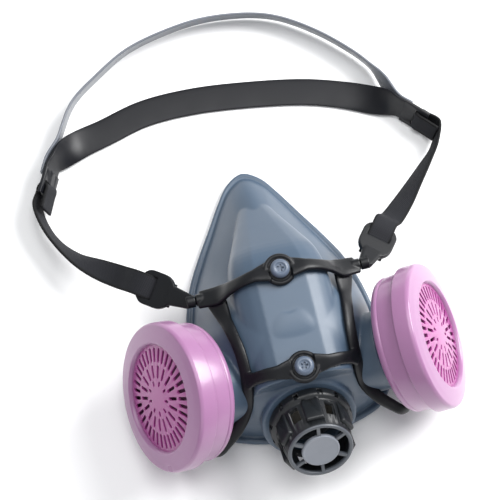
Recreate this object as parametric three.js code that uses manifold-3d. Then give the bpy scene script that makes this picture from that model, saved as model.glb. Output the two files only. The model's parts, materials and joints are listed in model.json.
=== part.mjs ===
// Half-mask respirator, lying on its face seal with the harness laid out beyond the nose.
// Millimetres, +Z up from the table, +Y towards the nose and the harness, +X the mask's right side.
// The mask is mirror-symmetric about X = 0; the harness lies as it fell, so its two sides differ.

import * as THREE from 'three';
import { mergeVertices } from 'three/addons/utils/BufferGeometryUtils.js';
import Module from 'manifold-3d';

const wasm = await Module();
wasm.setup();

// ---------------------------------------------------------------- driving dimensions

const GAP = 0.3; // running gap between neighbouring pieces
const SIDES = [['left', -1], ['right', 1]];
const ROUND = 24; // sides of a round piece
const SMALL_ROUND = 10;

// Facepiece: a soft dome over the rim outline, highest at the pole.
const POLE = new THREE.Vector3(0, 24, 0);
const DOME_HEIGHT = 64;
const FLANGE_HEIGHT = 4.6;
const FLANGE_WIDTH = 4.5;
const WALL = 3;
const LIP_WIDTH = 12;
const LIP_THICKNESS = 2.4;
const RIM_HALF_OUTLINE = [
  [0, 127.5], [9.5, 122.5], [17, 112.5], [26, 98], [36, 82], [43.5, 68], [49.5, 50], [53, 28],
  [54, 8], [51, -8], [43, -19], [32, -24], [16, -27.5], [0, -28.5],
];
const RIM_STEPS = 32;
const DOME_ROWS = [0.16, 0.34, 0.52, 0.67, 0.8, 0.9, 0.96, 1];
const CAVITY_ROWS = [0.22, 0.45, 0.65, 0.82, 0.94];

// Filters: a disc cartridge on each side, its frame at the middle of the front rim.
const FILTER_CENTRE = [74, 0, 47];
const FILTER_AXIS = [0.882, -0.084, 0.464];
const FILTER_RADIUS = 39;
const FILTER_DEPTH = 23;
const FILTER_WALL = 1.8;
const BODY_BACK_RADIUS = 36;
const COVER_DEPTH = 9.5;
const COVER_SKIN = 1.6;
const GRILLE_RADIUS = 28;
const GRILLE_RISE = 2.6;
const SLOT_COUNT = 24;
const INNER_SLOT_COUNT = 12;
const PORT_RADIUS = 15;
const PORT_BORE = 12.5;
const TUBE_END = -17;
const BOSS_RADIUS = 21;
const BOSS_FRONT = -27.5;
const BOSS_BACK = -44; // face under the connector's inner flange, which lies in a recess
const RECESS = 3;
const FLANGE_RADIUS = 18;

// Exhalation valve: its frame at the middle of the sleeve's front ring.
const VALVE_CENTRE = [0, -24, 28];
const VALVE_AXIS = [0, -0.829, 0.559];
const SLEEVE_RADIUS = 23.5;
const SLEEVE_BORE = 17;
const SLEEVE_DEPTH = 14;
const COVER_LENGTH = 25;
const COVER_BASE_RADIUS = 22;
const COVER_FRONT_RADIUS = 17.6;
const COVER_RIBS = 6;
const HUB_RADIUS = 10;
const HUB_OPENING = 15.2;
const SEAT_LOW = -9;
const SEAT_DEPTH = 2;
const FLAP_TRAVEL = 1.5;

// Yoke: one moulded frame that snaps over two buttons on the facepiece.
const PANEL_HALF_SECTION = [[13, 0], [19.5, -3], [25, -8], [27, -24]]; // across, below the top face
const PANEL_STATIONS = [{ y: -9, z: 60, share: 1 }, { y: 55, z: 65.9, share: 1 }, { y: 101, z: 21, share: 0.3 }];
const BUTTONS = [{ y: 47.5, z: 65.2 }, { y: -4.5, z: 60.6 }];
const BUTTON_RADIUS = 5;
const EYELET_RADIUS = 8.5;
const YOKE_LIFT = 2.6;
const YOKE_BAR = { width: 6.5, thickness: 2.6 };
const YOKE_CORNER = [34.5, 46, 47.6];
const YOKE_ARM = [[32.5, 34], [31, 24], [29.3, 12], [29, -2], [31.5, -13]];
const YOKE_ARM_TAIL = [
  [37.5, -20.5, 30], [44.5, -25.4, 24], [49.8, -28.3, 20], [53.4, -27.2, 17.5], [56.2, -22.5, 14.5],
  [56.6, -17, 12],
];
const KNUCKLE = [40.5, 47.5, 45]; // inner end of the yoke knuckle; its pin runs along X
const KNUCKLE_RADIUS = 3.2;
const KNUCKLE_LENGTH = 4;
const HINGE_PIN_RADIUS = 1.4;

// Harness webbing and bands.
const STRAP = { width: 13, thickness: 1.5 };
const BACK_BAND = { width: 16, thickness: 1.4 };
const CROWN_BAND = { width: 13.5, thickness: 1.4 };
const TONGUE = { width: 18, thickness: 2 };
const FOLD = 2.5; // distance from a tongue's middle to the strap folded round it

// ---------------------------------------------------------------- solids

// One closed body with its faces pointing out, shared vertices merged and slivers dropped.
function closed(geometry) {
  const plain = new THREE.BufferGeometry();
  plain.setAttribute('position', geometry.getAttribute('position').clone());
  if (geometry.index) plain.setIndex(geometry.index.clone());
  const merged = mergeVertices(plain, 1e-4);
  const position = merged.getAttribute('position');
  const index = [...merged.index.array];
  const corner = (i) => new THREE.Vector3().fromBufferAttribute(position, i);
  const triangles = [];
  let volume = 0;
  for (let i = 0; i < index.length; i += 3) {
    const [a, b, c] = index.slice(i, i + 3);
    if (a === b || b === c || c === a) continue;
    volume += corner(a).dot(corner(b).cross(corner(c)));
    triangles.push([a, b, c]);
  }
  if (volume < 0) triangles.forEach((triangle) => triangle.reverse());
  merged.setIndex(triangles.flat());
  return merged;
}

function toSolid(geometry) {
  const body = closed(geometry);
  return new wasm.Manifold(new wasm.Mesh({
    numProp: 3,
    vertProperties: new Float32Array(body.getAttribute('position').array),
    triVerts: new Uint32Array(body.index.array),
  }));
}

function toGeometry(solid) {
  const mesh = solid.getMesh();
  const geometry = new THREE.BufferGeometry();
  const points = new Float32Array(mesh.numVert * 3);
  for (let i = 0; i < mesh.numVert; i++) {
    for (let k = 0; k < 3; k++) points[i * 3 + k] = mesh.vertProperties[i * mesh.numProp + k];
  }
  geometry.setAttribute('position', new THREE.BufferAttribute(points, 3));
  geometry.setIndex([...mesh.triVerts]);
  geometry.computeVertexNormals();
  return geometry;
}

// The biggest of the separate pieces that a cut leaves.
function largest(solid) {
  return solid.decompose().reduce((best, piece) => (piece.volume() > best.volume() ? piece : best));
}

const unite = (...solids) => solids.reduce((all, solid) => all.add(solid));
const cut = (base, ...tools) => tools.reduce((rest, tool) => rest.subtract(tool), base);

// A solid of revolution about Z; the profile is [radius, height] pairs that close on themselves
// or start and end on the axis.
function turned(profile, segments = ROUND) {
  const points = profile.map(([radius, height]) => new THREE.Vector2(radius, height));
  return new THREE.LatheGeometry(points, segments).rotateX(Math.PI / 2);
}

function ring(inner, outer, low, high, segments = ROUND) {
  const square = [[inner, low], [outer, low], [outer, high], [inner, high], [inner, low]];
  return turned(square, segments);
}

function disc(radius, low, high, segments = ROUND) {
  return turned([[0, low], [radius, low], [radius, high], [0, high]], segments);
}

function box(width, depth, height, x = 0, y = 0, z = 0) {
  return new THREE.BoxGeometry(width, depth, height).translate(x, y, z);
}

// The matrix of a local frame: Z along the axis, X as near as it can be to the given side.
function frameAt(origin, axis, side = [0, 1, 0]) {
  const z = new THREE.Vector3(...axis).normalize();
  const x = new THREE.Vector3(...side);
  x.addScaledVector(z, -x.dot(z)).normalize();
  const y = new THREE.Vector3().crossVectors(z, x);
  return new THREE.Matrix4().makeBasis(x, y, z).setPosition(...origin);
}

// A convex section [across, through] swept along points, turned at each to the given directions.
function swept(section, points, across) {
  const positions = [];
  const index = [];
  const count = section.length;
  points.forEach((point, k) => {
    const ahead = points[Math.min(k + 1, points.length - 1)];
    const behind = points[Math.max(k - 1, 0)];
    const along = ahead.clone().sub(behind).normalize();
    const wide = across[k].clone().addScaledVector(along, -across[k].dot(along)).normalize();
    const thick = new THREE.Vector3().crossVectors(along, wide);
    for (const [u, v] of section) {
      const place = point.clone().addScaledVector(wide, u).addScaledVector(thick, v);
      positions.push(...place.toArray());
    }
  });
  for (let k = 0; k + 1 < points.length; k++) {
    for (let j = 0; j < count; j++) {
      const a = k * count + j;
      const b = k * count + (j + 1) % count;
      index.push(a, b, b + count, a, b + count, a + count);
    }
  }
  const last = (points.length - 1) * count;
  for (let j = 1; j + 1 < count; j++) {
    index.push(0, j + 1, j, last, last + j, last + j + 1);
  }
  const geometry = new THREE.BufferGeometry();
  geometry.setAttribute('position', new THREE.Float32BufferAttribute(positions, 3));
  geometry.setIndex(index);
  return geometry;
}

function rectangle(width, thickness) {
  const u = width / 2;
  const v = thickness / 2;
  return [[u, v], [-u, v], [-u, -v], [u, -v]];
}

// A flat band along a smooth route; every stop is [x, y, z] with its own width direction.
function band(stops, size, steps) {
  const route = new THREE.CatmullRomCurve3(stops.map((stop) => stop.at), false, 'centripetal');
  const lean = new THREE.CatmullRomCurve3(stops.map((stop) => stop.across), false, 'centripetal');
  const parameters = Array.from({ length: steps + 1 }, (_, i) => i / steps);
  const section = rectangle(size.width, size.thickness);
  return swept(section, parameters.map((t) => route.getPoint(t)), parameters.map((t) => lean.getPoint(t)));
}

const stop = (at, across) => ({
  at: new THREE.Vector3(...at),
  across: new THREE.Vector3(...across).normalize(),
});

// ---------------------------------------------------------------- the facepiece's skin

const rimCurve = new THREE.CatmullRomCurve3(
  [
    ...RIM_HALF_OUTLINE,
    ...RIM_HALF_OUTLINE.slice(1, -1).reverse().map(([x, y]) => [-x, y]),
  ].map(([x, y]) => new THREE.Vector3(x, y, 0)),
  true,
  'centripetal',
);
const rim = rimCurve.getSpacedPoints(RIM_STEPS).slice(0, RIM_STEPS).map((point) => point.sub(POLE));

// Angle from the nose, 0 to pi, of a point seen from the pole.
const angleFromNose = (x, y) => Math.abs(Math.atan2(x, y));

// The dome is nearly straight down the nose and round over the cheeks and chin.
function domeHeight(angle, s) {
  const blend = THREE.MathUtils.smoothstep(angle, 0.4, 1.5);
  const power = THREE.MathUtils.lerp(1.25, 2.1, blend);
  const root = THREE.MathUtils.lerp(1.08, 2, blend);
  const fall = Math.max(0, 1 - s ** power) ** (1 / root);
  return FLANGE_HEIGHT + (DOME_HEIGHT - FLANGE_HEIGHT) * fall;
}

function rimDistance(angle) {
  let best = rim[0];
  for (const point of rim) {
    const nearer = Math.abs(angleFromNose(point.x, point.y) - angle);
    if (nearer < Math.abs(angleFromNose(best.x, best.y) - angle)) best = point;
  }
  return best.length();
}

// Height of the outer skin over a point of the table.
function skinHeight(x, y) {
  const angle = angleFromNose(x - POLE.x, y - POLE.y);
  const reach = rimDistance(angle) - FLANGE_WIDTH;
  return domeHeight(angle, Math.min(1, Math.hypot(x - POLE.x, y - POLE.y) / reach));
}

function skinPoint(spoke, s) {
  const height = domeHeight(angleFromNose(spoke.x, spoke.y), s);
  const share = (s * (spoke.length() - FLANGE_WIDTH)) / spoke.length();
  return new THREE.Vector3(spoke.x * share, spoke.y * share, height).add(POLE);
}

// The point under the skin at a wall's thickness, along the spoke's own slope.
function innerPoint(spoke, s) {
  const step = 0.02;
  const slope = skinPoint(spoke, Math.min(1, s + step)).sub(skinPoint(spoke, s - step));
  const run = Math.hypot(slope.x, slope.y);
  const out = spoke.clone().setZ(0).normalize();
  const normal = out.multiplyScalar(-slope.z).setZ(run).normalize();
  return skinPoint(spoke, s).addScaledVector(normal, -WALL);
}

// A closed body of rings round the pole, from the top point down to the bottom point.
function stacked(top, rows, bottom) {
  const positions = [...top.toArray()];
  rows.forEach((row) => row.forEach((point) => positions.push(...point.toArray())));
  positions.push(...bottom.toArray());
  const count = rows[0].length;
  const index = [];
  for (let j = 0; j < count; j++) {
    const next = (j + 1) % count;
    index.push(0, 1 + next, 1 + j);
    for (let i = 0; i + 1 < rows.length; i++) {
      const a = 1 + i * count + j;
      const b = 1 + i * count + next;
      index.push(a, b, b + count, a, b + count, a + count);
    }
    const last = 1 + (rows.length - 1) * count;
    index.push(last + j, last + next, last + count);
  }
  const geometry = new THREE.BufferGeometry();
  geometry.setAttribute('position', new THREE.Float32BufferAttribute(positions, 3));
  geometry.setIndex(index);
  return geometry;
}

const level = (spoke, inset, height) => {
  const length = spoke.length();
  return spoke.clone().multiplyScalar((length - inset) / length).add(POLE).setZ(height);
};

function domeBody(grown = 0) {
  const rows = DOME_ROWS.map((s) => rim.map((spoke) => skinPoint(spoke, s)));
  rows.push(rim.map((spoke) => level(spoke, 1, FLANGE_HEIGHT)));
  rows.push(rim.map((spoke) => level(spoke, 0, FLANGE_HEIGHT / 2)));
  rows.push(rim.map((spoke) => level(spoke, 1, 0)));
  return stacked(POLE.clone().setZ(DOME_HEIGHT), rows, POLE.clone()).translate(0, 0, grown);
}

function cavityBody() {
  const rows = CAVITY_ROWS.map((s) => rim.map((spoke) => innerPoint(spoke, s)));
  rows.push(rim.map((spoke) => level(spoke, FLANGE_WIDTH + WALL + 1, LIP_THICKNESS + 1)));
  rows.push(rim.map((spoke) => level(spoke, LIP_WIDTH, LIP_THICKNESS)));
  rows.push(rim.map((spoke) => level(spoke, LIP_WIDTH, -1)));
  return stacked(POLE.clone().setZ(DOME_HEIGHT - WALL), rows, POLE.clone().setZ(-1));
}

// ---------------------------------------------------------------- local frames

const filterFrame = (side) => frameAt(
  [side * FILTER_CENTRE[0], FILTER_CENTRE[1], FILTER_CENTRE[2]],
  [side * FILTER_AXIS[0], FILTER_AXIS[1], FILTER_AXIS[2]],
);
const valveFrame = frameAt(VALVE_CENTRE, VALVE_AXIS, [1, 0, 0]);
const [panelLow, panelHigh] = PANEL_STATIONS;
const panelTilt = Math.atan2(panelHigh.z - panelLow.z, panelHigh.y - panelLow.y);
const buttonFrame = ({ y, z }) => frameAt([0, y, z], [0, -Math.sin(panelTilt), Math.cos(panelTilt)], [1, 0, 0]);

// ---------------------------------------------------------------- facepiece

// The raised panel that the two buttons stand on; it narrows and runs out into the nose ridge.
function panelBody(grown = 0) {
  const stations = PANEL_STATIONS.map(({ y, z, share }) => SIDES.flatMap(([, side]) => (
    PANEL_HALF_SECTION.map(([across, below]) => [side * (across * share + grown), y, z + below * share + grown])
  )));
  const spans = stations.slice(1).map((far, i) => wasm.Manifold.hull([...stations[i], ...far]));
  return unite(...spans);
}

// A button: a stem through the yoke's eyelet and a wider head over it.
function buttonBody(place) {
  const profile = [
    [0, -6], [3.4, -6], [3.4, 3.6], [BUTTON_RADIUS, 3.9], [BUTTON_RADIUS, 5], [3.6, 6], [0, 6],
  ];
  return turned(profile, SMALL_ROUND).applyMatrix4(buttonFrame(place));
}

function facepiece() {
  const sleeve = ring(SLEEVE_BORE, SLEEVE_RADIUS, -SLEEVE_DEPTH, 0);
  const snapRing = ring(SLEEVE_BORE, 20, -1, 3);
  const valveBore = disc(SLEEVE_BORE, -24, 4);
  const valveFront = disc(COVER_BASE_RADIUS + 1.5, 0, COVER_LENGTH);
  const shell = cut(
    unite(toSolid(domeBody()), panelBody()),
    toSolid(cavityBody()),
    toSolid(valveFront.applyMatrix4(valveFrame)),
  );
  let mask = cut(
    unite(
      shell,
      toSolid(sleeve.applyMatrix4(valveFrame)),
      toSolid(snapRing.applyMatrix4(valveFrame)),
    ),
    toSolid(valveBore.applyMatrix4(valveFrame)),
  );
  for (const [, side] of SIDES) {
    const boss = disc(BOSS_RADIUS, BOSS_BACK - RECESS, BOSS_FRONT);
    const tools = [
      disc(PORT_RADIUS + GAP, BOSS_BACK - RECESS - 1, BOSS_FRONT + 1),
      disc(FLANGE_RADIUS + GAP, BOSS_BACK - RECESS - 1, BOSS_BACK),
      disc(BOSS_RADIUS + 2, BOSS_FRONT, 0),
    ].map((tool) => toSolid(tool.applyMatrix4(filterFrame(side))));
    mask = cut(unite(mask, toSolid(boss.applyMatrix4(filterFrame(side)))), ...tools);
  }
  const table = box(300, 300, 20, 0, 0, -10);
  return cut(unite(mask, ...BUTTONS.map((place) => toSolid(buttonBody(place)))), toSolid(table));
}

// ---------------------------------------------------------------- inhalation side

// A threaded tube through the boss, flanged on both faces, with a spoked seat at its inner end.
function inletConnector() {
  const back = BOSS_BACK - GAP;
  const front = BOSS_FRONT + GAP;
  const seat = back - SEAT_DEPTH;
  const tube = turned([
    [PORT_BORE, seat], [FLANGE_RADIUS, seat], [FLANGE_RADIUS, back], [PORT_RADIUS, back],
    [PORT_RADIUS, front], [FLANGE_RADIUS, front], [FLANGE_RADIUS, front + 1.5],
    [PORT_RADIUS, front + 1.5], [PORT_RADIUS, TUBE_END], [PORT_BORE, TUBE_END],
    [PORT_BORE, seat],
  ]);
  return cut(unite(toSolid(tube), spokedHub(2 * PORT_BORE + 1, seat)), stemHole(seat));
}

// A thin flap with a stem through the seat's hub and a bead that keeps it there. It lies on the
// hub's face at the given height and opens away from it, up or down the axis.
function flap(radius, hubFace, opening) {
  const face = hubFace + opening * GAP;
  const bead = hubFace - opening * (SEAT_DEPTH + FLAP_TRAVEL + GAP);
  return toSolid(turned([
    [0, face + opening * 0.8], [radius, face + opening * 0.6], [radius, face], [0.9, face],
    [0.9, bead], [1.8, bead - opening * 0.4], [1.8, bead - opening * 1.4], [0, bead - opening * 2],
  ]));
}

// Three bars across a bore, a hub in the middle and a hole in it for the flap's stem.
function spokedHub(span, low) {
  const bars = [0, 1, 2].map((i) => {
    const bar = box(span, 2, SEAT_DEPTH, 0, 0, low + SEAT_DEPTH / 2);
    return toSolid(bar.rotateZ((i * Math.PI) / 3));
  });
  const hub = toSolid(disc(3.2, low, low + SEAT_DEPTH, SMALL_ROUND));
  return unite(hub, ...bars);
}

const stemHole = (low) => toSolid(disc(1.3, low - 1, low + SEAT_DEPTH + 1, SMALL_ROUND));

// ---------------------------------------------------------------- filters

function filterGasket() {
  return toSolid(ring(11, PORT_RADIUS, -17 + GAP, -17 + GAP + 1.6));
}

// The cup: threaded collar, gasket seat, back plate and a wall that widens to the front.
function filterBody() {
  const back = -FILTER_DEPTH;
  const seat = -17 + GAP + 1.6 + GAP;
  const front = -COVER_DEPTH;
  const profile = [
    [PORT_RADIUS + GAP, back - 2.4], [19.6, back - 2.4], [19.6, back], [BODY_BACK_RADIUS, back],
    [37, front + 1.2], [37 - FILTER_WALL, front + 1.2],
    [BODY_BACK_RADIUS - FILTER_WALL, back + FILTER_WALL],
    [17.4, back + FILTER_WALL], [17.4, seat + 1.4], [11, seat + 1.4], [11, seat],
    [PORT_RADIUS + GAP, seat], [PORT_RADIUS + GAP, back - 2.4],
  ];
  return toSolid(turned(profile));
}

function filterMedia() {
  return toSolid(disc(34.4, -12.6, -3));
}

// The front shell: a lip outside the cup, a smooth domed ring and a slotted grille.
function filterCover() {
  const outer = FILTER_RADIUS;
  const skin = COVER_SKIN;
  const profile = [
    [37.2 + GAP, -COVER_DEPTH], [outer, -COVER_DEPTH], [outer, -2], [outer - 1.8, 0],
    [GRILLE_RADIUS + 1, GRILLE_RISE], [GRILLE_RADIUS, GRILLE_RISE - 0.8], [0, GRILLE_RISE - 0.8],
    [0, GRILLE_RISE - 0.8 - skin], [GRILLE_RADIUS, GRILLE_RISE - 0.8 - skin], [37.2 + GAP, -3],
    [37.2 + GAP, -COVER_DEPTH],
  ];
  const slots = [];
  for (let i = 0; i < SLOT_COUNT; i++) {
    const slot = box(6.4, 1.8, 6, 23, 0, 1.5);
    slots.push(toSolid(slot.rotateZ((i * 2 * Math.PI) / SLOT_COUNT)));
  }
  for (let i = 0; i < INNER_SLOT_COUNT; i++) {
    const slot = box(8.4, 1.5, 6, 13, 0, 1.5);
    slots.push(toSolid(slot.rotateZ((i * 2 * Math.PI) / INNER_SLOT_COUNT)));
  }
  return cut(toSolid(turned(profile)), unite(...slots));
}

// ---------------------------------------------------------------- exhalation valve

function exhalationSeat() {
  const rim = toSolid(turned([
    [12.5, SEAT_LOW], [SLEEVE_BORE - GAP, SEAT_LOW], [SLEEVE_BORE - GAP, -3], [15.2, -3],
    [15.2, SEAT_LOW + SEAT_DEPTH], [12.5, SEAT_LOW + SEAT_DEPTH], [12.5, SEAT_LOW],
  ]));
  return cut(unite(rim, spokedHub(26, SEAT_LOW)), stemHole(SEAT_LOW));
}

// The guard: a tapering hollow shell with broad ribs, a notched skirt, side windows and a wide
// hub held in the front ring by short spokes.
function exhalationCover() {
  const wall = 2;
  const front = COVER_LENGTH;
  const shell = toSolid(turned([
    [20.3, 0.4], [COVER_BASE_RADIUS, 0.4], [COVER_BASE_RADIUS, 5.5], [19.4, 6.5],
    [COVER_FRONT_RADIUS - 0.6, front], [HUB_OPENING, front], [HUB_OPENING, front - wall],
    [17.2, 7.5], [17.2, 4.5], [20.3, 4.5], [20.3, 0.4],
  ]));
  const pieces = [shell, toSolid(disc(HUB_RADIUS, front - wall, front))];
  const tools = [];
  for (let i = 0; i < COVER_RIBS; i++) {
    const turn = ((i + 0.5) * 2 * Math.PI) / COVER_RIBS;
    const spoke = box(5.5, 1.6, wall, 12.6, 0, front - wall / 2);
    const rib = box(3.4, 10, 14, 18.4, 0, 12);
    const window = box(8, 6, 9, 18, 0, 12.5);
    pieces.push(toSolid(spoke.rotateZ(turn)), toSolid(rib.rotateZ(turn)));
    tools.push(toSolid(window.rotateZ(turn + Math.PI / COVER_RIBS)));
    for (const side of [-1, 1]) {
      const notch = box(3, 2.6, 4, 22.6, 0, 4);
      tools.push(toSolid(notch.rotateZ(turn + side * 0.3)));
    }
  }
  return cut(unite(...pieces), ...tools);
}

// ---------------------------------------------------------------- yoke

const overSkin = (side, [x, y], lift = YOKE_LIFT) => [side * x, y, skinHeight(x, y) + lift];

function bar(points, size = YOKE_BAR) {
  const route = new THREE.CatmullRomCurve3(points.map((p) => new THREE.Vector3(...p)), false, 'centripetal');
  const stations = route.getPoints(points.length + 3);
  const across = stations.map((station, k) => {
    const ahead = stations[Math.min(k + 1, stations.length - 1)];
    const behind = stations[Math.max(k - 1, 0)];
    const outward = station.clone().sub(POLE).normalize();
    return ahead.clone().sub(behind).cross(outward).normalize();
  });
  return toSolid(swept(rectangle(size.width, size.thickness), stations, across));
}

// The hinge pin's barrel at the top corner of the yoke, with a stub for the buckle to turn on.
function knuckle(side) {
  const [x, y, z] = KNUCKLE;
  const matrix = frameAt([side * x, y, z], [side, 0, 0]);
  const barrel = disc(KNUCKLE_RADIUS, 0, KNUCKLE_LENGTH, SMALL_ROUND).applyMatrix4(matrix);
  const pin = disc(HINGE_PIN_RADIUS, 0, 2 * KNUCKLE_LENGTH - 0.5, SMALL_ROUND).applyMatrix4(matrix);
  return unite(toSolid(barrel), toSolid(pin));
}

// The facepiece's outside with a running gap all round, for the yoke to lie on.
function facepieceClearance() {
  const sleeve = disc(SLEEVE_RADIUS + GAP, -SLEEVE_DEPTH, GAP).applyMatrix4(valveFrame);
  const bosses = SIDES.map(([, side]) => {
    const boss = disc(BOSS_RADIUS + GAP, BOSS_BACK, BOSS_FRONT + GAP);
    return toSolid(boss.applyMatrix4(filterFrame(side)));
  });
  return unite(toSolid(domeBody(GAP + 0.2)), panelBody(GAP), toSolid(sleeve), ...bosses);
}

function yoke() {
  const parts = [];
  const [upper, lower] = BUTTONS;
  for (const [, side] of SIDES) {
    const onBar = ([x, y]) => overSkin(side, [x, y]);
    parts.push(bar([
      [side * 6, upper.y, upper.z + 1.9], [side * 14, 47, upper.z + 1.5], [side * 20, 46.5, 64],
      [side * 26, 46.2, 58.4], [side * 32, 46.2, 50.6], [side * (KNUCKLE[0] + 2), KNUCKLE[1], KNUCKLE[2]],
    ]));
    parts.push(bar([
      [side * 6, lower.y, lower.z + 1.9], [side * 13.5, lower.y, lower.z + 1.4],
      [side * 19.5, -3.8, 59.8], [side * 25, -3.2, 55.2], onBar([29, -2]),
    ]));
    parts.push(bar([
      [side * YOKE_CORNER[0], YOKE_CORNER[1], YOKE_CORNER[2]], ...YOKE_ARM.map(onBar),
      ...YOKE_ARM_TAIL.map(([x, y, z]) => [side * x, y, z]),
    ]));
    parts.push(knuckle(side));
  }
  for (const place of BUTTONS) {
    parts.push(toSolid(ring(4, EYELET_RADIUS, 0.5, 3.3, 16).applyMatrix4(buttonFrame(place))));
  }
  const holes = BUTTONS.map((place) => toSolid(disc(4, -4, 12, 16).applyMatrix4(buttonFrame(place))));
  return largest(cut(unite(...parts), ...holes, facepieceClearance()));
}

// ---------------------------------------------------------------- harness

const LEAN = new THREE.Vector3(-0.11, -0.25, 0.96); // the way the standing bands lean
const UPRIGHT = LEAN.toArray();

// A buckle's frame: X along the strap as it leaves, Z out of the face that is uppermost.
const BUCKLES = {
  left: { centre: [-61, 59, 38], along: [-0.7, 0.62, -0.36] },
  right: { centre: [56.5, 58.5, 38], along: [0.56, 0.74, -0.37] },
};
const BUCKLE = { back: -9, front: 13.5, half: 9.5, thickness: 2.6, slot: [1.2, 9.9], slotHalf: 7.2 };
const buckleFrame = (name) => {
  const { centre, along } = BUCKLES[name];
  const x = new THREE.Vector3(...along).normalize();
  const z = LEAN.clone().addScaledVector(x, -LEAN.dot(x)).normalize();
  return frameAt(centre, z.toArray(), along);
};

function buckle(name, side) {
  const { back, front, half, thickness, slot, slotHalf } = BUCKLE;
  const outline = new THREE.Shape([
    [back, -4], [-3, -half], [front - 4, -half], [front, -half + 3.5], [front, half - 3.5],
    [front - 4, half], [-3, half], [back, 4],
  ].map(([x, y]) => new THREE.Vector2(x, y)));
  outline.holes.push(new THREE.Path([
    [slot[0], -slotHalf], [slot[0], slotHalf], [slot[1], slotHalf], [slot[1], -slotHalf],
  ].map(([x, y]) => new THREE.Vector2(x, y))));
  const frame = buckleFrame(name);
  const plate = new THREE.ExtrudeGeometry(outline, { depth: thickness, bevelEnabled: false });
  plate.translate(0, 0, -thickness / 2).applyMatrix4(frame);
  const [x, y, z] = KNUCKLE;
  const start = x + KNUCKLE_LENGTH + GAP;
  const knuckleFrame = frameAt([side * start, y, z], [side, 0, 0]);
  const barrel = disc(KNUCKLE_RADIUS, 0, KNUCKLE_LENGTH + 0.5, SMALL_ROUND).applyMatrix4(knuckleFrame);
  const socket = disc(HINGE_PIN_RADIUS + GAP, -1, KNUCKLE_LENGTH - 0.2, SMALL_ROUND).applyMatrix4(knuckleFrame);
  const middle = new THREE.Vector3(side * (start + 2.6), y, z);
  const plateEnd = new THREE.Vector3(back + 4, 0, 0).applyMatrix4(frame);
  const across = new THREE.Vector3(0, 1, 0).transformDirection(frame);
  const neck = swept(rectangle(5.2, 2.7), [middle, plateEnd], [across, across]);
  return cut(unite(toSolid(plate), toSolid(barrel), toSolid(neck)), toSolid(socket));
}

// The slotted ends of the back band: X runs from the tip towards the band, Y points outwards.
const TONGUES = {
  left: { tip: [-109.5, 136, 9.2], towards: [0.447, 0.894], up: [-0.34, 0, 0.94] },
  right: { tip: [107.5, 131, 9.3], towards: [-0.68, 0.73], up: [0.2, 0.18, 0.96] },
};
const TONGUE_SLOT = { from: 3.5, to: 9.6, half: 7 };

// A point by a tongue: along it from its tip, and out of its face.
function byTongue(name, along, out) {
  const { tip, towards, up } = TONGUES[name];
  const ahead = new THREE.Vector3(...towards, 0);
  const outward = new THREE.Vector3(...up).cross(ahead).normalize();
  const facing = outward.x * tip[0] > 0 ? 1 : -1;
  return new THREE.Vector3(...tip).addScaledVector(ahead, along).addScaledVector(outward, facing * out).toArray();
}

// The strap's way through its buckle, in the buckle's frame.
const THREADED = [[-6.5, -2.7], [0.5, -2.7], [5.6, 0], [10.6, 2.6], [16, 2.9]];

// The strap's way round the end bar of its tongue: along and out.
const FOLDED = [
  [-6, FOLD], [1, FOLD], [4.5, FOLD], [6.27, 0.71 * FOLD], [7, 0], [6.27, -0.71 * FOLD],
  [4.5, -FOLD], [1, -FOLD], [-8, -FOLD - 0.3],
];

// Between buckle and tongue: where the strap lies and which way its width turns.
const STRAP_STOPS = {
  left: [
    [[-79.6, 75.8, 26], [-0.5, -0.75, -0.1]], [[-89.9, 85.6, 18.5], [-0.45, -0.8, 0.35]],
    [[-100.5, 96.8, 12.5], [-0.4, -0.5, 0.75]], [[-108.2, 108.2, 9.8], [-0.35, -0.25, 0.9]],
    [[-112.6, 118.7, 9.2], [-0.35, -0.1, 0.93]],
  ],
  right: [
    [[71, 74.5, 27.5], [0.6, -0.6, 0.3]], [[79.5, 83.3, 21], [0.55, -0.55, 0.5]],
    [[89.4, 94.7, 15], [0.5, -0.4, 0.75]], [[100, 106.7, 11], [0.35, -0.25, 0.9]],
    [[109, 117.5, 9.2], [0.25, 0, 0.96]],
  ],
};

function sideStrap(name) {
  const frame = buckleFrame(name);
  const across = new THREE.Vector3(0, 1, 0).transformDirection(frame);
  const facing = across.dot(new THREE.Vector3(...STRAP_STOPS[name][0][1])) < 0 ? -1 : 1;
  const width = across.multiplyScalar(facing).toArray();
  const { up } = TONGUES[name];
  const stops = [
    ...THREADED.map(([x, z]) => stop(new THREE.Vector3(x, 0, z).applyMatrix4(frame).toArray(), width)),
    ...STRAP_STOPS[name].map(([at, lean]) => stop(at, lean)),
    ...FOLDED.map(([along, out]) => stop(byTongue(name, along, out), up)),
  ];
  return toSolid(band(stops, STRAP, 2 * (stops.length - 1)));
}

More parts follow.
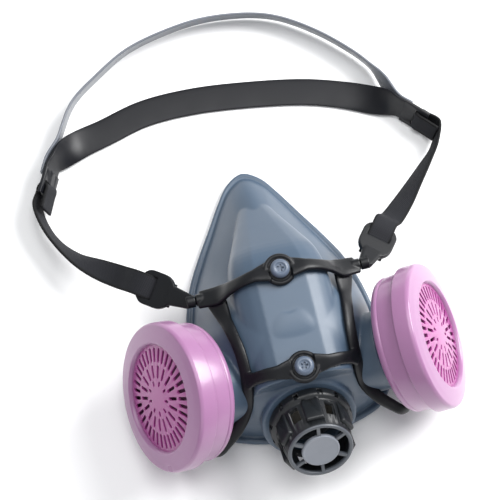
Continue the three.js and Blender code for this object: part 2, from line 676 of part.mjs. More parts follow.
// The back band lies flat on the table and turns up on its edge at both ends.
function backBand() {
  const onEdge = (name, along) => stop(byTongue(name, along, 0), TONGUES[name].up);
  const stops = [
    onEdge('left', 0), onEdge('left', 11), onEdge('left', 19),
    stop([-96.6, 157, 8.4], [-0.42, 0.25, 0.87]), stop([-91.5, 160.8, 6.4], [-0.52, 0.55, 0.65]),
    stop([-83, 165.2, 3.2], [-0.45, 0.85, 0.25]), stop([-69, 169.3, 1.6], [-0.35, 0.93, 0.04]),
    stop([-45, 175.8, 1.2], [-0.1, 1, 0.02]), stop([-17, 177, 1.2], [0, 1, 0.02]),
    stop([16, 173.8, 1.2], [0.15, 1, 0.02]), stop([48, 168, 1.4], [0.25, 0.96, 0.02]),
    stop([69, 160.8, 2], [0.35, 0.93, 0.1]), stop([82.5, 153.6, 4.6], [0.4, 0.78, 0.45]),
    stop([89.5, 149.2, 7.6], [0.35, 0.5, 0.79]), onEdge('right', 18), onEdge('right', 11),
    onEdge('right', 0),
  ];
  let solid = toSolid(band(stops, BACK_BAND, 2 * (stops.length - 1)));
  for (const [name] of SIDES) {
    const [tip, end] = [byTongue(name, 0, 0), byTongue(name, 15, 0)].map((p) => new THREE.Vector3(...p));
    const up = new THREE.Vector3(...TONGUES[name].up);
    const plate = swept(rectangle(TONGUE.width, TONGUE.thickness), [tip, end], [up, up]);
    const slotEnds = [TONGUE_SLOT.from, TONGUE_SLOT.to].map((x) => new THREE.Vector3(...byTongue(name, x, 0)));
    const slot = swept(rectangle(2 * TONGUE_SLOT.half, 12), slotEnds, [up, up]);
    solid = cut(unite(solid, toSolid(plate)), toSolid(slot));
  }
  return solid;
}

function crownBand() {
  const lapped = 3.1;
  const ends = (name, places) => places.map((x) => stop(byTongue(name, x, lapped), TONGUES[name].up));
  const arch = [
    [-95, 168.5], [-83, 187.8], [-66.2, 200.8], [-45.2, 213.1], [-15.8, 220.5], [3, 221.9],
    [27.3, 218.9], [42.7, 213.3], [60.3, 201.3], [75.4, 186.9], [85.3, 174.5],
  ];
  const stops = [
    ...ends('left', [12, 21]),
    ...arch.map(([x, y]) => stop([x, y, 8.2], UPRIGHT)),
    stop([91, 162.5, 8.4], [0.1, 0, 0.95]),
    ...ends('right', [21, 12]),
  ];
  return toSolid(band(stops, CROWN_BAND, 2 * (stops.length - 1)));
}

// ---------------------------------------------------------------- assembly

const COLOURS = {
  elastomer: [0x6e8094, 0.55], yoke: [0x1e2630, 0.45], webbing: [0x33363d, 0.85],
  crown: [0x55585f, 0.5], magenta: [0xcd96c8, 0.4], media: [0xd9a8cf, 0.95],
  guard: [0x2d3034, 0.4], flap: [0xd8d2c0, 0.6], connector: [0x3a3f45, 0.5],
};

function material(name) {
  const [color, roughness] = COLOURS[name];
  return new THREE.MeshStandardMaterial({ color, roughness, metalness: 0 });
}

const model = new THREE.Group();

function add(name, solid, colour, parent = model) {
  const mesh = new THREE.Mesh(toGeometry(solid), material(colour));
  mesh.name = name;
  parent.add(mesh);
}

function placedGroup(matrix) {
  const group = new THREE.Group();
  group.applyMatrix4(matrix);
  model.add(group);
  return group;
}

add('facepiece', facepiece(), 'elastomer');
add('yoke', yoke(), 'yoke');

for (const [name, side] of SIDES) {
  const group = placedGroup(filterFrame(side));
  add(`inlet_connector_${name}`, inletConnector(), 'connector', group);
  add(`inhalation_flap_${name}`, flap(14.5, BOSS_BACK - GAP - SEAT_DEPTH, -1), 'flap', group);
  add(`filter_gasket_${name}`, filterGasket(), 'connector', group);
  add(`filter_body_${name}`, filterBody(), 'magenta', group);
  add(`filter_media_${name}`, filterMedia(), 'media', group);
  add(`filter_cover_${name}`, filterCover(), 'magenta', group);
  add(`buckle_${name}`, buckle(name, side), 'yoke');
  add(`side_strap_${name}`, sideStrap(name), 'webbing');
}

const valve = placedGroup(valveFrame);
add('exhalation_seat', exhalationSeat(), 'connector', valve);
add('exhalation_flap', flap(14, SEAT_LOW + SEAT_DEPTH, 1), 'flap', valve);
add('exhalation_cover', exhalationCover(), 'guard', valve);

add('back_band', backBand(), 'webbing');
add('crown_band', crownBand(), 'crown');

// The origin is under the middle of everything, on the table.
const bounds = new THREE.Box3().setFromObject(model);
const middle = bounds.getCenter(new THREE.Vector3());
model.position.set(-middle.x, -middle.y, -bounds.min.z);

export default model;
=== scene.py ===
"""Looks of a half-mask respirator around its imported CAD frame.

Shapes are worked out in millimetres in the mask's own coordinates: X = 0 is the mid-plane, Y runs
from the filters to the nose, Z is up from the table. place() turns them into the frame's metres.
"""

import json
import math

import bmesh
import bpy
import numpy as np
from mathutils import Matrix, Vector


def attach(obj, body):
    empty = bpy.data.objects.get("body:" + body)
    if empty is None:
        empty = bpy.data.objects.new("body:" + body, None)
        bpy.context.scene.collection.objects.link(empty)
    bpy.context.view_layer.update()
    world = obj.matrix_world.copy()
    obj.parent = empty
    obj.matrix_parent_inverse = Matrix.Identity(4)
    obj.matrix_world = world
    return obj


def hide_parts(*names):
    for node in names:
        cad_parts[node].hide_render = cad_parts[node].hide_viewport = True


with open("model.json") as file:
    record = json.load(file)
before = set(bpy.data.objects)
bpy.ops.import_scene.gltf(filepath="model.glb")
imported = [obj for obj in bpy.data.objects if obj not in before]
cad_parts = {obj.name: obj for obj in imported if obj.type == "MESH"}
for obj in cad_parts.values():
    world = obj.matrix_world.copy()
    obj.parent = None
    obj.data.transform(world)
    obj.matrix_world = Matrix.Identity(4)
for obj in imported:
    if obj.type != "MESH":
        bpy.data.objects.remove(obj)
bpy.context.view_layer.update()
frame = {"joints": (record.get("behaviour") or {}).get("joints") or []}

# ---------------------------------------------------------------- sizes, in millimetres

MM = 0.001
SIDES = (("left", -1), ("right", 1))
GAP = 0.3

POLE = np.array([0.0, 24.0, 0.0])
DOME_HEIGHT = 64
FLANGE_HEIGHT = 4.6
FLANGE_WIDTH = 4.5
WALL = 3
LIP_WIDTH = 12
LIP_THICKNESS = 2.4
RIM_HALF_OUTLINE = [
    (0, 127.5), (9.5, 122.5), (17, 112.5), (26, 98), (36, 82), (43.5, 68), (49.5, 50), (53, 28),
    (54, 8), (51, -8), (43, -19), (32, -24), (16, -27.5), (0, -28.5),
]
SPOKES = 288
# The rolled bead along the rim: distance in from the rim's edge, and height.
RIM_BEAD = [
    (4.3, 4.1), (3.7, 3.7), (3.0, 4.2), (2.0, 4.8), (1.0, 4.5), (0.3, 3.7), (0, 2.5), (0.3, 1.1),
    (1, 0.3), (2, 0),
]

FILTER_CENTRE = (74, 0, 47)
FILTER_AXIS = (0.882, -0.084, 0.464)
FILTER_RADIUS = 39
GRILLE_RADIUS = 28
# Each ring of grille slots: how many, their length and width, the ring's radius, and its turn in slots.
GRILLE_SLOTS = [(36, 7.6, 1.9, 22.6, 0), (18, 7, 1.7, 14, 0.5), (9, 3, 1.4, 8, 0)]
BOSS_RADIUS = 21
BOSS_FRONT = -27.5
BOSS_BACK = -44
RECESS = 3
PORT_RADIUS = 15
PORT_BORE = 12.5
FLANGE_RADIUS = 18
TUBE_END = -17
GASKET_THICKNESS = 1.6
SEAT_DEPTH = 2
FLAP_TRAVEL = 1.5

VALVE_CENTRE = (0, -24, 28)
VALVE_AXIS = (0, -0.829, 0.559)
SLEEVE_RADIUS = 23.5
SLEEVE_BORE = 17
SLEEVE_DEPTH = 14
COVER_LENGTH = 25
COVER_WALL = 2
COVER_RIBS = 6
HUB_RADIUS = 10
HUB_OPENING = 15.2
SEAT_LOW = -9

# The raised panel: its half section as (across, below the top face), and its stations as
# (along Y, height, share of the section).
PANEL_HALF_SECTION = [(13, 0), (19.5, -3), (25, -8), (27, -24)]
PANEL_STATIONS = [(-9, 60, 1), (55, 65.9, 1), (101, 21, 0.3)]
PANEL_CROWN = 0.4
BUTTONS = [(47.5, 65.2), (-4.5, 60.6)]
BUTTON_POINTS = 5
YOKE_LIFT = 2.6
KNUCKLE = (40.5, 47.5, 45)
KNUCKLE_RADIUS = 3.2
KNUCKLE_LENGTH = 4
PIN_RADIUS = 1.4

STRAP = (13, 1.5)
BACK_BAND = (16, 1.4)
CROWN_BAND = (13.5, 1.4)
LEAN = (-0.11, -0.25, 0.96)

# The harness turns about an axis through the knuckles, which ties these coordinates to the frame's.
swing = next(joint for joint in frame["joints"] if joint["name"] == "harness_swing")
ORIGIN = np.array(swing["pos_m"]) / MM - np.array([0, KNUCKLE[1], KNUCKLE[2]])


def place(point):
    return (np.asarray(point, float) + ORIGIN) * MM


# ---------------------------------------------------------------- vectors and curves

def unit(vector):
    vector = np.asarray(vector, float)
    return vector / np.linalg.norm(vector)


def frame_at(origin, axis, side=(0, 1, 0)):
    """A local frame: Z along the axis, X as near as it can be to the given side."""
    z = unit(axis)
    x = np.asarray(side, float)
    x = unit(x - x.dot(z) * z)
    matrix = np.eye(4)
    matrix[:3, 0] = x
    matrix[:3, 1] = np.cross(z, x)
    matrix[:3, 2] = z
    matrix[:3, 3] = origin
    return matrix


def moved(matrix, points):
    points = np.asarray(points, float)
    return points @ matrix[:3, :3].T + matrix[:3, 3]


def turned_about_z(points, angle):
    c, s = math.cos(angle), math.sin(angle)
    points = np.asarray(points, float)
    x, y, z = points.T
    return np.column_stack([c * x - s * y, s * x + c * y, z])


def smooth_route(stops, steps, closed=False):
    """A centripetal Catmull-Rom curve through the stops, with that many steps between two stops."""
    stops = np.asarray(stops, float)
    count = len(stops)
    if closed:
        around = [stops[(i - 1) % count] for i in range(count + 3)]
        spans = count
    else:
        around = [2 * stops[0] - stops[1], *stops, 2 * stops[-1] - stops[-2]]
        spans = count - 1
    points = []
    for i in range(spans):
        a, b, c, d = around[i:i + 4]
        spans_between = ((a, b), (b, c), (c, d))
        ab, bc, cd = (max(math.sqrt(np.linalg.norm(q - p)), 1e-4) for p, q in spans_between)
        start = ((b - a) / ab - (c - a) / (ab + bc) + (c - b) / bc) * bc
        end = ((c - b) / bc - (d - b) / (bc + cd) + (d - c) / cd) * bc
        bend = 3 * (c - b) - 2 * start - end
        twist = 2 * (b - c) + start + end
        for t in np.arange(steps) / steps:
            points.append(b + start * t + bend * t ** 2 + twist * t ** 3)
    if not closed:
        points.append(stops[-1])
    return np.array(points)


def smoothstep(x, low, high):
    t = np.clip((x - low) / (high - low), 0, 1)
    return t * t * (3 - 2 * t)


# ---------------------------------------------------------------- meshes

def make_object(name, points, faces, matrix=None, uv=None):
    """A smooth-shaded mesh object. Points are in millimetres, in a local frame if one is given."""
    if matrix is not None:
        points = moved(matrix, points)
    mesh = bpy.data.meshes.new(name)
    mesh.from_pydata(place(points).tolist(), [], faces)
    if uv is not None:
        layer = mesh.uv_layers.new(name="along")
        for loop in mesh.loops:
            layer.data[loop.index].uv = uv[loop.vertex_index]
    thing = bpy.data.objects.new(name, mesh)
    bpy.context.scene.collection.objects.link(thing)
    work = bmesh.new()
    work.from_mesh(mesh)
    bmesh.ops.recalc_face_normals(work, faces=work.faces)
    work.to_mesh(mesh)
    work.free()
    mesh.polygons.foreach_set("use_smooth", [True] * len(mesh.polygons))
    return thing


def applied(thing):
    """Bakes the object's modifiers into its mesh."""
    bpy.context.view_layer.update()
    evaluated = thing.evaluated_get(bpy.context.evaluated_depsgraph_get())
    mesh = bpy.data.meshes.new_from_object(evaluated)
    old = thing.data
    thing.modifiers.clear()
    thing.data = mesh
    bpy.data.meshes.remove(old)
    return thing


def combined(base, tool, operation):
    step = base.modifiers.new("combine", "BOOLEAN")
    step.operation = operation
    step.solver = "MANIFOLD"
    step.object = tool
    applied(base)
    bpy.data.objects.remove(tool)
    return base


def joined(first, *others):
    """Puts closed meshes into one object without cutting them."""
    work = bmesh.new()
    for thing in (first, *others):
        work.from_mesh(thing.data)
    work.to_mesh(first.data)
    work.free()
    for thing in others:
        bpy.data.objects.remove(thing)
    return first


def moulded(thing, voxel, smoothing):
    """Melts overlapping closed meshes into one skin with soft edges."""
    remesh = thing.modifiers.new("remesh", "REMESH")
    remesh.mode = "VOXEL"
    remesh.voxel_size = voxel * MM
    remesh.use_smooth_shade = True
    soften = thing.modifiers.new("soften", "SMOOTH")
    soften.factor = 0.5
    soften.iterations = smoothing
    return applied(thing)


def softened_edges(thing, width, segments=3, angle=35):
    bevel = thing.modifiers.new("edges", "BEVEL")
    bevel.width = width * MM
    bevel.segments = segments
    bevel.limit_method = "ANGLE"
    bevel.angle_limit = math.radians(angle)
    bevel.harden_normals = False
    return thing


def rounded(profile, radius, steps=5):
    """The profile with its inner corners turned into small arcs."""
    profile = [np.array(p, float) for p in profile]
    closed = np.allclose(profile[0], profile[-1])
    core = profile[:-1] if closed else profile
    result = []
    for i, corner in enumerate(core):
        if not closed and i in (0, len(core) - 1):
            result.append(corner)
            continue
        before, after = core[i - 1] - corner, core[(i + 1) % len(core)] - corner
        reach = min(radius, 0.45 * np.linalg.norm(before), 0.45 * np.linalg.norm(after))
        start, end = corner + unit(before) * reach, corner + unit(after) * reach
        for t in np.linspace(0, 1, steps):
            result.append((1 - t) ** 2 * start + 2 * t * (1 - t) * corner + t ** 2 * end)
    if closed:
        result.append(result[0])
    return result


def lathe(name, profile, matrix, segments=96):
    """A solid of revolution about the frame's Z from (radius, height) pairs."""
    profile = [tuple(p) for p in profile]
    closed = np.allclose(profile[0], profile[-1])
    rows = profile[:-1] if closed else profile
    angles = np.arange(segments) * 2 * math.pi / segments
    points, row_start = [], []
    for radius, height in rows:
        row_start.append(len(points))
        if radius < 1e-6:
            points.append((0, 0, height))
        else:
            points += [(radius * math.cos(a), radius * math.sin(a), height) for a in angles]
    on_axis = [radius < 1e-6 for radius, _ in rows]
    faces = []
    pairs = list(zip(range(len(rows)), range(1, len(rows))))
    if closed:
        pairs.append((len(rows) - 1, 0))
    for i, j in pairs:
        for k in range(segments):
            n = (k + 1) % segments
            a, b = row_start[i], row_start[j]
            if on_axis[i] and on_axis[j]:
                continue
            if on_axis[i]:
                faces.append((a, b + k, b + n))
            elif on_axis[j]:
                faces.append((a + k, b, a + n))
            else:
                faces.append((a + k, b + k, b + n, a + n))
    return make_object(name, points, faces, matrix)


def disc(name, radius, low, high, matrix, segments=96):
    return lathe(name, [(0, low), (radius, low), (radius, high), (0, high)], matrix, segments)


def blocks(name, size, centre, turns, matrix):
    """Boxes of one size, one for each turn about the frame's Z."""
    corners = np.array([(x, y, z) for x in (-1, 1) for y in (-1, 1) for z in (-1, 1)]) / 2
    corners = corners * np.array(size) + np.array(centre)
    quads = [(0, 1, 3, 2), (4, 6, 7, 5), (0, 4, 5, 1), (2, 3, 7, 6), (0, 2, 6, 4), (1, 5, 7, 3)]
    points, faces = [], []
    for turn in turns:
        start = len(points)
        points += list(turned_about_z(corners, turn))
        faces += [tuple(start + i for i in quad) for quad in quads]
    return make_object(name, points, faces, matrix)


def slots(name, length, width, low, high, middle, turns, matrix, arc=5):
    """Round-ended cutters, one for each turn about the frame's Z, lying along its radius."""
    outline = []
    for end, start in ((1, -math.pi / 2), (-1, math.pi / 2)):
        for t in np.linspace(0, math.pi, arc):
            x = middle + end * (length - width) / 2 + math.cos(start + t) * width / 2
            outline.append((x, math.sin(start + t) * width / 2))
    count = len(outline)
    block = np.array([(x, y, low) for x, y in outline] + [(x, y, high) for x, y in outline])
    points, faces = [], []
    for turn in turns:
        first = len(points)
        points += list(turned_about_z(block, turn))
        faces.append(tuple(first + i for i in reversed(range(count))))
        faces.append(tuple(first + count + i for i in range(count)))
        for i in range(count):
            n = (i + 1) % count
            faces.append((first + i, first + n, first + count + n, first + count + i))
    return make_object(name, points, faces, matrix)


def pill(width, thickness, corner, steps=4, crown=0.0):
    """A closed section [across, through] with round corners and a slightly crowned face."""
    half, deep = width / 2 - corner, thickness / 2 - corner
    corners = ((half, deep, 0), (-half, deep, 90), (-half, -deep, 180), (half, -deep, 270))
    section = []
    for cx, cy, start in corners:
        for angle in np.linspace(start, start + 90, steps):
            a = math.radians(angle)
            section.append((cx + corner * math.cos(a), cy + corner * math.sin(a)))
    filled = []
    for i, (u, v) in enumerate(section):
        filled.append((u, v))
        nu, nv = section[(i + 1) % len(section)]
        if abs(nu - u) > width / 3:
            for t in np.linspace(0, 1, 10)[1:-1]:
                x = u + (nu - u) * t
                filled.append((x, v + math.copysign(crown, v) * (1 - (2 * x / width) ** 2)))
    return filled


def skin_faces(count, rows):
    """Faces round a solid made of rows of that many points: an end face at both ends, and the sides."""
    last = (rows - 1) * count
    faces = [tuple(range(count)), tuple(last + i for i in reversed(range(count)))]
    for k in range(rows - 1):
        for i in range(count):
            a, b = k * count + i, k * count + (i + 1) % count
            faces.append((a, b, b + count, a + count))
    return faces


def sweep(name, section, points, across, widths=(1, 1)):
    """A closed section swept along points, with its width turned the given way at each point.

    The widths are factors at even steps along the way.
    """
    points, across = np.asarray(points, float), np.asarray(across, float)
    rows = len(points)
    factors = np.interp(np.linspace(0, 1, rows), np.linspace(0, 1, len(widths)), widths)
    along = np.gradient(points, axis=0)
    travelled = np.concatenate([[0], np.cumsum(np.linalg.norm(np.diff(points, axis=0), axis=1))])
    verts, uv = [], []
    for k in range(rows):
        ahead = unit(along[k])
        wide = unit(across[k] - across[k].dot(ahead) * ahead)
        thick = np.cross(ahead, wide)
        for u, v in section:
            verts.append(points[k] + wide * u * factors[k] + thick * v)
            uv.append((travelled[k] / 10, u / 10))
    return make_object(name, verts, skin_faces(len(section), rows), uv=uv)


def ribbon(name, stops, section, steps=10):
    """A flat band through stops of (point, width direction)."""
    route = smooth_route([at for at, _ in stops], steps)
    widths = smooth_route([unit(across) for _, across in stops], steps)
    return sweep(name, section, route, widths)


# ---------------------------------------------------------------- materials

def linear(red, green, blue):
    """A screen colour from 0 to 255 as the shader's linear colour."""
    def channel(value):
        value /= 255
        return value / 12.92 if value <= 0.04045 else ((value + 0.055) / 1.055) ** 2.4
    return (channel(red), channel(green), channel(blue), 1)


class Surface:
    """A material with a Principled shader and the nodes that vary it."""

    def __init__(self, name, colour, roughness, **settings):
        self.material = bpy.data.materials.new(name)
        self.material.use_nodes = True
        self.tree = self.material.node_tree
        self.shader = self.tree.nodes["Principled BSDF"]
        self.shader.inputs["Base Color"].default_value = colour
        self.shader.inputs["Roughness"].default_value = roughness
        self.colour, self.roughness = colour, roughness
        for key, value in settings.items():
            self.shader.inputs[key.replace("_", " ")].default_value = value
        self.where = self.node("ShaderNodeTexCoord").outputs["Object"]
        self.height = None

    def node(self, kind, **inputs):
        node = self.tree.nodes.new(kind)
        for key, value in inputs.items():
            socket = node.inputs[key.replace("_", " ")]
            if isinstance(value, bpy.types.NodeSocket):
                self.tree.links.new(value, socket)
            else:
                socket.default_value = value
        return node

    def noise(self, scale, detail=3.0):
        texture = self.node("ShaderNodeTexNoise", Scale=scale, Detail=detail, Vector=self.where)
        return texture.outputs["Fac"]

    def spread(self, value, low, high, centre=(0.15, 0.85)):
        node = self.node("ShaderNodeMapRange", Value=value)
        node.inputs["From Min"].default_value = centre[0]
        node.inputs["From Max"].default_value = centre[1]
        node.inputs["To Min"].default_value = low
        node.inputs["To Max"].default_value = high
        return node.outputs["Result"]

    def mottled(self, scale, amount):
        """Lets the colour drift between a slightly darker and a slightly lighter tone."""
        dark = tuple(c * (1 - amount) for c in self.colour[:3]) + (1,)
        light = tuple(min(1, c * (1 + amount)) for c in self.colour[:3]) + (1,)
        mix = self.node("ShaderNodeMix")
        mix.data_type = "RGBA"
        self.tree.links.new(self.spread(self.noise(scale), 0, 1), mix.inputs["Factor"])
        mix.inputs[6].default_value = dark
        mix.inputs[7].default_value = light
        self.tree.links.new(mix.outputs[2], self.shader.inputs["Base Color"])
        return self

    def uneven_gloss(self, scale, amount):
        value = self.spread(self.noise(scale), self.roughness - amount, self.roughness + amount)
        self.tree.links.new(value, self.shader.inputs["Roughness"])
        return self

    def grained(self, scale, strength, distance=0.00005):
        self.bumped(self.noise(scale, 4.0), strength, distance)
        return self

    def bumped(self, height, strength, distance):
        bump = self.node("ShaderNodeBump", Height=height, Strength=strength, Distance=distance)
        if self.height is not None:
            self.tree.links.new(self.height, bump.inputs["Normal"])
        self.height = bump.outputs["Normal"]
        self.tree.links.new(self.height, self.shader.inputs["Normal"])


def elastomer():
    skin = Surface("elastomer", linear(62, 79, 97), 0.42, Sheen_Weight=0.05)
    skin.shader.inputs["Coat Weight"].default_value = 0.12
    skin.shader.inputs["Coat Roughness"].default_value = 0.35
    skin.mottled(28, 0.07).uneven_gloss(60, 0.06)
    skin.grained(900, 0.12).grained(2600, 0.08)
    return skin.material


def harness_plastic():
    skin = Surface("harness_plastic", linear(10, 12, 16), 0.42, Specular_IOR_Level=0.32)
    skin.mottled(50, 0.12).uneven_gloss(120, 0.06).grained(1500, 0.1)
    return skin.material


def webbing():
    """Woven tape: diagonal ribs along the strap, with firm darker selvedges."""
    skin = Surface("webbing", linear(22, 23, 27), 0.8, Specular_IOR_Level=0.3)
    place_on_strap = skin.node("ShaderNodeUVMap")
    place_on_strap.uv_map = "along"
    parts = skin.node("ShaderNodeSeparateXYZ", Vector=place_on_strap.outputs["UV"])
    along, out = parts.outputs["X"], parts.outputs["Y"]

    def wave(source, period, phase=0.0):
        scaled = skin.node("ShaderNodeMath")
        scaled.operation = "MULTIPLY_ADD"
        skin.tree.links.new(source, scaled.inputs[0])
        scaled.inputs[1].default_value = 2 * math.pi * 10 / period
        scaled.inputs[2].default_value = phase
        sine = skin.node("ShaderNodeMath")
        sine.operation = "SINE"
        skin.tree.links.new(scaled.outputs[0], sine.inputs[0])
        return sine.outputs[0]

    weave = skin.node("ShaderNodeMath")
    weave.operation = "MULTIPLY"
    skin.tree.links.new(wave(along, 1.1), weave.inputs[0])
    skin.tree.links.new(wave(out, 1.3), weave.inputs[1])
    edge = skin.node("ShaderNodeMath")
    edge.operation = "ABSOLUTE"
    skin.tree.links.new(out, edge.inputs[0])
    middle = skin.spread(edge.outputs[0], 1, 0, (0.5, 0.58))
    tone = skin.node("ShaderNodeMath")
    tone.operation = "MULTIPLY_ADD"
    skin.tree.links.new(weave.outputs[0], tone.inputs[0])
    tone.inputs[1].default_value = 0.22
    skin.tree.links.new(middle, tone.inputs[2])
    mix = skin.node("ShaderNodeMix")
    mix.data_type = "RGBA"
    skin.tree.links.new(tone.outputs[0], mix.inputs["Factor"])
    mix.inputs[6].default_value = linear(9, 10, 12)
    mix.inputs[7].default_value = linear(25, 26, 31)
    skin.tree.links.new(mix.outputs[2], skin.shader.inputs["Base Color"])
    skin.bumped(weave.outputs[0], 0.6, 0.00012)
    return skin.material


def band_plastic():
    skin = Surface("band_plastic", linear(14, 15, 20), 0.42, Specular_IOR_Level=0.28)
    skin.mottled(35, 0.12).uneven_gloss(90, 0.07).grained(700, 0.1)
    return skin.material


def crown_plastic():
    # Partly the band's own grey, partly painted reflection: the tone is lighter than the plastic's to
    # stand in for the sheen along its glossy face.
    skin = Surface("crown_plastic", linear(98, 102, 110), 0.3)
    skin.mottled(35, 0.1).uneven_gloss(90, 0.07).grained(700, 0.1)
    return skin.material


def magenta_plastic(name="magenta_plastic", colour=(150, 106, 144)):
    skin = Surface(name, linear(*colour), 0.3)
    skin.shader.inputs["Coat Weight"].default_value = 0.25
    skin.shader.inputs["Coat Roughness"].default_value = 0.15
    skin.shader.inputs["Subsurface Weight"].default_value = 0.12
    skin.shader.inputs["Subsurface Radius"].default_value = (0.004, 0.002, 0.003)
    skin.mottled(18, 0.05).uneven_gloss(40, 0.04).grained(700, 0.03)
    return skin.material


def filter_felt():
    skin = Surface("filter_media", linear(112, 50, 98), 0.9, Sheen_Weight=0.3)
    skin.mottled(300, 0.25).grained(1400, 0.6, 0.0002)
    return skin.material


def guard_plastic(name="guard_plastic", colour=(21, 24, 27), roughness=0.44):
    skin = Surface(name, linear(*colour), roughness)
    skin.mottled(60, 0.1).uneven_gloss(120, 0.06).grained(1200, 0.08)
    return skin.material


def plain_plastic(name, colour, roughness):
    skin = Surface(name, linear(*colour), roughness)
    skin.mottled(60, 0.08).uneven_gloss(100, 0.05).grained(1200, 0.08)
    return skin.material


LOOKS = {
    "elastomer": elastomer(),
    "harness_plastic": harness_plastic(),
    "webbing": webbing(),
    "band_plastic": band_plastic(),
    "crown_plastic": crown_plastic(),
    "magenta_plastic": magenta_plastic(),
    "grille_plastic": magenta_plastic("grille_plastic", (150, 66, 130)),
    "filter_media": filter_felt(),
    "guard_plastic": guard_plastic(),
    # The hub's light grey is a painted reflection: the same dark plastic as the guard, coloured lighter
    # where its flat face catches the light.
    "guard_front_painted_reflection": guard_plastic("guard_front_painted_reflection", (122, 126, 134), 0.38),
    # The front ring's mid-grey is a painted reflection: the same dark plastic as the guard, coloured
    # lighter where its flat face catches the light.
    "guard_ring_painted_reflection": guard_plastic("guard_ring_painted_reflection", (74, 78, 84), 0.38),
    "insert_plastic": plain_plastic("insert_plastic", (58, 63, 69), 0.45),
    # The flaps' silicone is given a darker tone than its own: painted shade for the flaps seen inside
    # the valves.
    "flap_rubber": plain_plastic("flap_rubber", (112, 107, 98), 0.5),
    "gasket_rubber": plain_plastic("gasket_rubber", (28, 28, 31), 0.6),
    "button_rubber": plain_plastic("button_rubber", (78, 89, 105), 0.38),
}


def finished(thing, body, node, slot, look=None):
    """Gives a piece its material and its body, and hides the CAD node it stands for; the material is the
    given look, else the one for the slot.
    """
    thing.data.materials.clear()
    thing.data.materials.append(LOOKS[look or slot])
    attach(thing, body)
    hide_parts(node)
    return thing


# ---------------------------------------------------------------- local frames

FILTER_FRAME = {
    name: frame_at(
        (side * FILTER_CENTRE[0], FILTER_CENTRE[1], FILTER_CENTRE[2]),
        (side * FILTER_AXIS[0], FILTER_AXIS[1], FILTER_AXIS[2]),
    )
    for name, side in SIDES
}
VALVE_FRAME = frame_at(VALVE_CENTRE, VALVE_AXIS, (1, 0, 0))
(LOW_Y, LOW_Z, _), (HIGH_Y, HIGH_Z, _) = PANEL_STATIONS[:2]
PANEL_TILT = math.atan2(HIGH_Z - LOW_Z, HIGH_Y - LOW_Y)


def button_frame(y, z):
    return frame_at((0, y, z), (0, -math.sin(PANEL_TILT), math.cos(PANEL_TILT)), (1, 0, 0))


# ---------------------------------------------------------------- the facepiece's skin

outline = RIM_HALF_OUTLINE + [(-x, y) for x, y in reversed(RIM_HALF_OUTLINE[1:-1])]
rim_points = smooth_route([(x, y, 0) for x, y in outline], 24, closed=True) - POLE
rim_angles = np.arctan2(rim_points[:, 0], rim_points[:, 1])
rim_order = np.argsort(rim_angles)
RIM_ANGLES = rim_angles[rim_order]
RIM_REACH = np.hypot(rim_points[rim_order, 0], rim_points[rim_order, 1])


def rim_reach(angle):
    """Distance from the pole to the rim at an angle from the nose."""
    return np.interp(angle, RIM_ANGLES, RIM_REACH, period=2 * math.pi)


def dome_height(angle, s):
    """Height of the skin at a share s of the way out; sharp along the nose, round at the sides."""
    blend = smoothstep(np.abs(angle), 0.4, 1.5)
    power = 1.25 + 0.85 * blend
    root = 1.08 + 0.92 * blend
    fall = max(0, 1 - s ** power) ** (1 / root)
    return FLANGE_HEIGHT + (DOME_HEIGHT - FLANGE_HEIGHT) * fall


def skin_height(x, y):
    angle = math.atan2(x - POLE[0], y - POLE[1])
    reach = rim_reach(angle) - FLANGE_WIDTH
    return dome_height(angle, min(1, math.hypot(x - POLE[0], y - POLE[1]) / reach))


def on_spoke(angle, distance, height):
    return POLE + np.array([math.sin(angle) * distance, math.cos(angle) * distance, height])


def skin_point(angle, s):
    return on_spoke(angle, s * (rim_reach(angle) - FLANGE_WIDTH), dome_height(angle, s))


def inner_point(angle, s):
    """A point of the skin moved in by the wall, at right angles to the skin."""
    step = 0.02
    slope = skin_point(angle, min(1, s + step)) - skin_point(angle, s - step)
    outward = np.array([math.sin(angle), math.cos(angle), 0])
    normal = unit(outward * -slope[2] + np.array([0, 0, math.hypot(slope[0], slope[1])]))
    return skin_point(angle, s) - normal * WALL


def stacked(name, top, rows, bottom):
    """A closed body of rings round the pole, from the top point down to the bottom point."""
    count = len(rows[0])
    points = [top, *(point for row in rows for point in row), bottom]
    faces = []
    last = 1 + (len(rows) - 1) * count
    for j in range(count):
        n = (j + 1) % count
        faces.append((0, 1 + n, 1 + j))
        faces.append((last + j, last + n, last + count))
        for i in range(len(rows) - 1):
            a, b = 1 + i * count + j, 1 + i * count + n
            faces.append((a, b, b + count, a + count))
    return make_object(name, points, faces)


SPOKE_ANGLES = np.arange(SPOKES) * 2 * math.pi / SPOKES - math.pi


def dome_body():
    shares = np.linspace(0.03, 1, 46) ** 0.8
    rows = [[skin_point(angle, s) for angle in SPOKE_ANGLES] for s in shares]
    for inset, height in RIM_BEAD:
        rows.append([on_spoke(angle, rim_reach(angle) - inset, height) for angle in SPOKE_ANGLES])
    return stacked("facepiece_skin", POLE + (0, 0, DOME_HEIGHT), rows, POLE.copy())


def cavity_body():
    shares = np.linspace(0.06, 0.94, 26)
    rows = [[inner_point(angle, s) for angle in SPOKE_ANGLES] for s in shares]
    foot = [
        (FLANGE_WIDTH + WALL + 1, LIP_THICKNESS + 1), (LIP_WIDTH - 1, LIP_THICKNESS),
        (LIP_WIDTH, 1.2), (LIP_WIDTH, -1),
    ]
    for inset, height in foot:
        rows.append([on_spoke(angle, rim_reach(angle) - inset, height) for angle in SPOKE_ANGLES])
    return stacked("cavity", POLE + (0, 0, DOME_HEIGHT - WALL), rows, POLE + (0, 0, -1))


